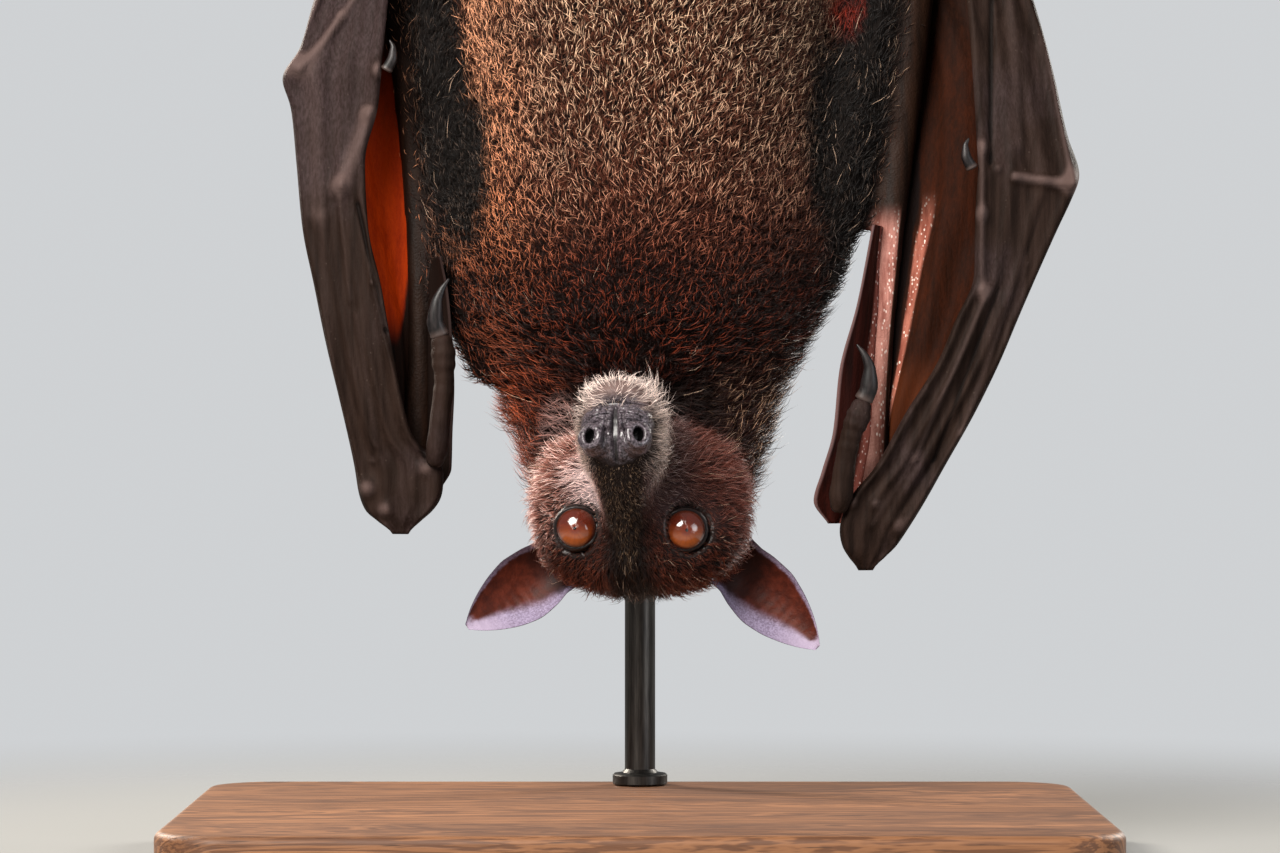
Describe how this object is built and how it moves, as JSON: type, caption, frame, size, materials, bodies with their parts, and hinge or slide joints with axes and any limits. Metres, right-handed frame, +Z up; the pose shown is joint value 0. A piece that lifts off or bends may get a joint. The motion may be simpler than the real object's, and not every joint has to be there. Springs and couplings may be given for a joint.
{
  "type": "fruit bat display model",
  "caption": "Life-size fruit bat hanging head down from a short cut branch, wings half folded, on a flat base with a rear post.",
  "frame": {"origin": "centre of the flat base's underside, on the floor", "axes": "+Z up from the floor to the branch, -Y the side that the bat faces, +X to the viewer's right in front of its face"},
  "size_m": [0.284, 0.204, 0.5356],
  "materials": {
    "coat": "matte",
    "bare_skin": "satin",
    "claw": "gloss",
    "eye": "gloss",
    "bark": "matte",
    "stand_wood": "satin",
    "stand_metal": "satin"
  },
  "bodies": {
    "root": {"trunk": "coat", "neck": "coat", "head": "coat", "upper_arm_left": "coat", "upper_arm_right": "coat", "thigh_left": "coat", "thigh_right": "coat", "shank_left": "coat", "shank_right": "coat", "ear_left": "bare_skin", "ear_right": "bare_skin", "forearm_left": "bare_skin", "forearm_right": "bare_skin", "wing_hand_left": "bare_skin", "wing_hand_right": "bare_skin", "wing_fingers_left": "bare_skin", "wing_fingers_right": "bare_skin", "wing_membrane_left": "bare_skin", "wing_membrane_right": "bare_skin", "wing_front_skin_left": "bare_skin", "wing_front_skin_right": "bare_skin", "thumb_left": "bare_skin", "thumb_right": "bare_skin", "foot_left": "bare_skin", "foot_right": "bare_skin", "thumb_claw_left": "claw", "thumb_claw_right": "claw", "finger_claw_left": "claw", "finger_claw_right": "claw", "toe_claw_1_left": "claw", "toe_claw_1_right": "claw", "toe_claw_2_left": "claw", "toe_claw_2_right": "claw", "toe_claw_3_left": "claw", "toe_claw_3_right": "claw", "toe_claw_4_left": "claw", "toe_claw_4_right": "claw", "toe_claw_5_left": "claw", "toe_claw_5_right": "claw", "eye_left": "eye", "eye_right": "eye", "perch": "bark", "stand_base": "stand_wood", "stand_post": "stand_metal", "stand_arm": "stand_metal"}
  },
  "joints": []
}
